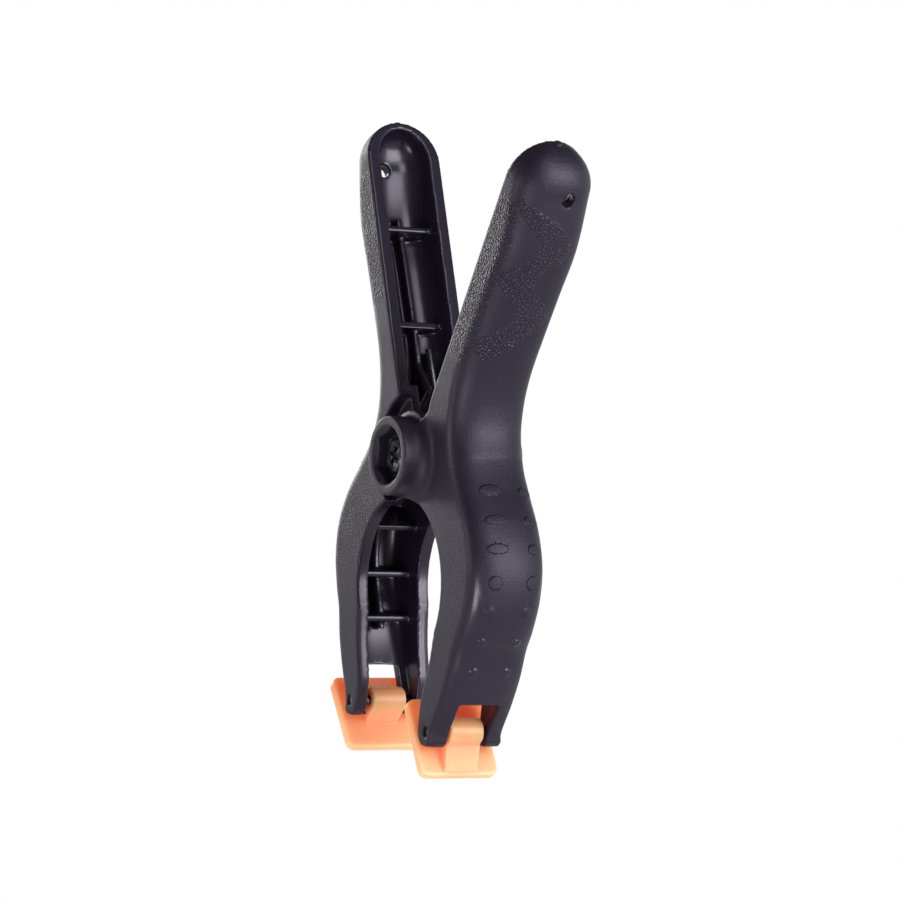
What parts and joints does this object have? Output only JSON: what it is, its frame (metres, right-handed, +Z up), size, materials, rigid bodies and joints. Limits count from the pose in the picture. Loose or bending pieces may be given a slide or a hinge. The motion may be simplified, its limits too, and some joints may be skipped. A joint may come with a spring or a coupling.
{
  "type": "spring clamp",
  "caption": "Hand-squeezed spring clamp: two moulded channel arms on a pivot screw, a torsion spring, and a swivelling pad in the fork of each jaw.",
  "frame": {"origin": "centre of the round throat between the jaws, on the middle plane of the arms", "axes": "+Z up from the throat to the pivot and the handles, +Y along the pivot screw towards its nut, +X across the jaws towards the right arm"},
  "size_m": [0.0552, 0.0198, 0.0947],
  "materials": {
    "nylon": "satin black moulded nylon with a grained grip",
    "pad_plastic": "slightly translucent orange moulded plastic",
    "blackened_steel": "black oxide steel",
    "spring_wire": "bright drawn spring wire"
  },
  "bodies": {
    "left_side": {"left_arm": "nylon", "pivot_screw": "blackened_steel", "pivot_nut": "blackened_steel", "torsion_spring": "spring_wire", "left_pad_pin": "blackened_steel"},
    "right_side": {"right_arm": "nylon", "right_pad_pin": "blackened_steel"},
    "left_swivel": {"left_pad": "pad_plastic"},
    "right_swivel": {"right_pad": "pad_plastic"}
  },
  "joints": [
    {"name": "arm_hinge", "type": "hinge", "parent": "left_side", "child": "right_side", "pos_m": [0, 0, 0.019], "axis": [0, -1, 0], "range_deg": [-19, 48], "stiffness_Nm_per_rad": 0.6, "deforming": ["torsion_spring"]},
    {"name": "right_pad_swivel", "type": "hinge", "parent": "right_side", "child": "right_swivel", "pos_m": [0.0123, 0, -0.0197], "axis": [0, -1, 0], "range_deg": [-35.3, 109.7]},
    {"name": "left_pad_swivel", "type": "hinge", "parent": "left_side", "child": "left_swivel", "pos_m": [-0.0123, 0, -0.0197], "axis": [0, -1, 0], "range_deg": [-6.5, 138.5]}
  ]
}
